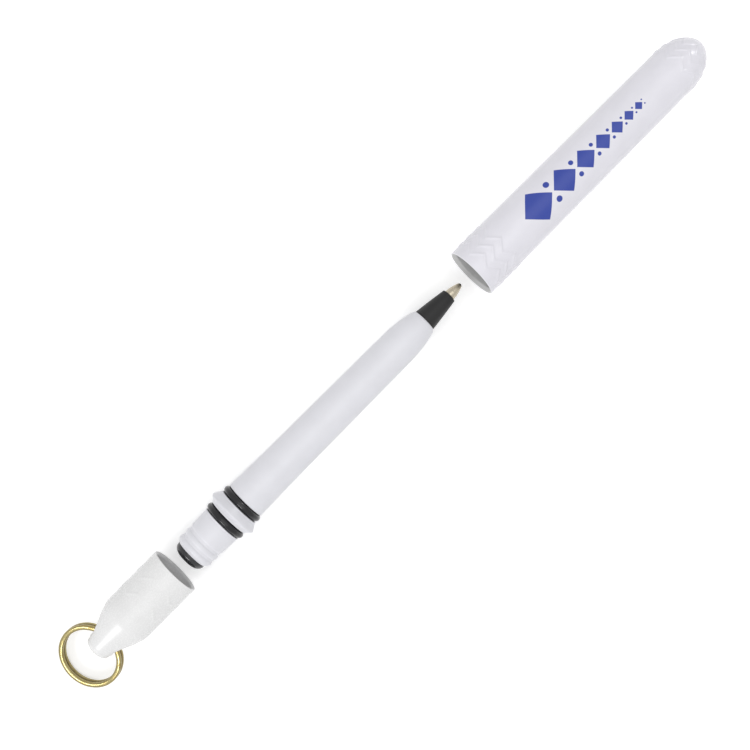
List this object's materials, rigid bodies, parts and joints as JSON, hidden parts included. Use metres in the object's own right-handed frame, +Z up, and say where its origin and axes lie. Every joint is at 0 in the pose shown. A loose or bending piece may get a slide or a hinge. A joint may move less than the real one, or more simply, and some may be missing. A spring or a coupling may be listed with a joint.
{
  "type": "pocket pen",
  "caption": "Capped pocket ballpoint laid out open: short pen with two seals and a flange, long push-on cap, and a tail cap carrying a split key ring",
  "frame": {"origin": "on the table, below the middle of the laid-out parts", "axes": "+X along the pen's axis from the key ring to the long cap's closed end, +Z up from the table, Y across"},
  "size_m": [0.1874, 0.0144, 0.0119],
  "materials": {
    "barrel_plastic": "cool white moulded plastic with a soft sheen",
    "cap_plastic": "faintly lavender white moulded plastic, satin",
    "tail_plastic": "neutral white moulded plastic, soft sheen",
    "seal_rubber": "black nitrile rubber",
    "black_plastic": "black moulded plastic with a soft sheen",
    "nib_metal": "turned nickel silver",
    "ball_metal": "polished tungsten carbide",
    "tube_plastic": "natural translucent polypropylene",
    "ink": "dark blue-black ink paste",
    "grease": "amber grease",
    "ring_metal": "polished brass plate"
  },
  "bodies": {
    "pen": {"barrel": "barrel_plastic", "front_o_ring": "seal_rubber", "rear_o_ring": "seal_rubber", "nose_cone": "black_plastic", "nib": "nib_metal", "ink_tube": "tube_plastic", "ink_column": "ink", "grease_follower": "grease", "end_plug": "black_plastic"},
    "ball": {"writing_ball": "ball_metal"},
    "long_cap": {"cap_shell": "cap_plastic"},
    "tail": {"tail_cap": "tail_plastic"},
    "key_ring": {"split_ring": "ring_metal"}
  },
  "joints": [
    {"name": "cap_pull", "type": "slide", "parent": "pen", "child": "long_cap", "axis": [1, 0, 0], "range_m": [-0.06957, 0.03]},
    {"name": "tail_pull", "type": "slide", "parent": "pen", "child": "tail", "axis": [-1, 0, 0], "range_m": [-0.0164, 0.03]},
    {"name": "ring_swing", "type": "hinge", "parent": "tail", "child": "key_ring", "pos_m": [-0.0813, 0, 0.00597], "axis": [0, 1, 0], "range_deg": [-112, 157]},
    {"name": "ball_roll", "type": "hinge", "parent": "pen", "child": "ball", "pos_m": [0.02253, 0, 0.00597], "axis": [0, 1, 0], "continuous": true}
  ]
}
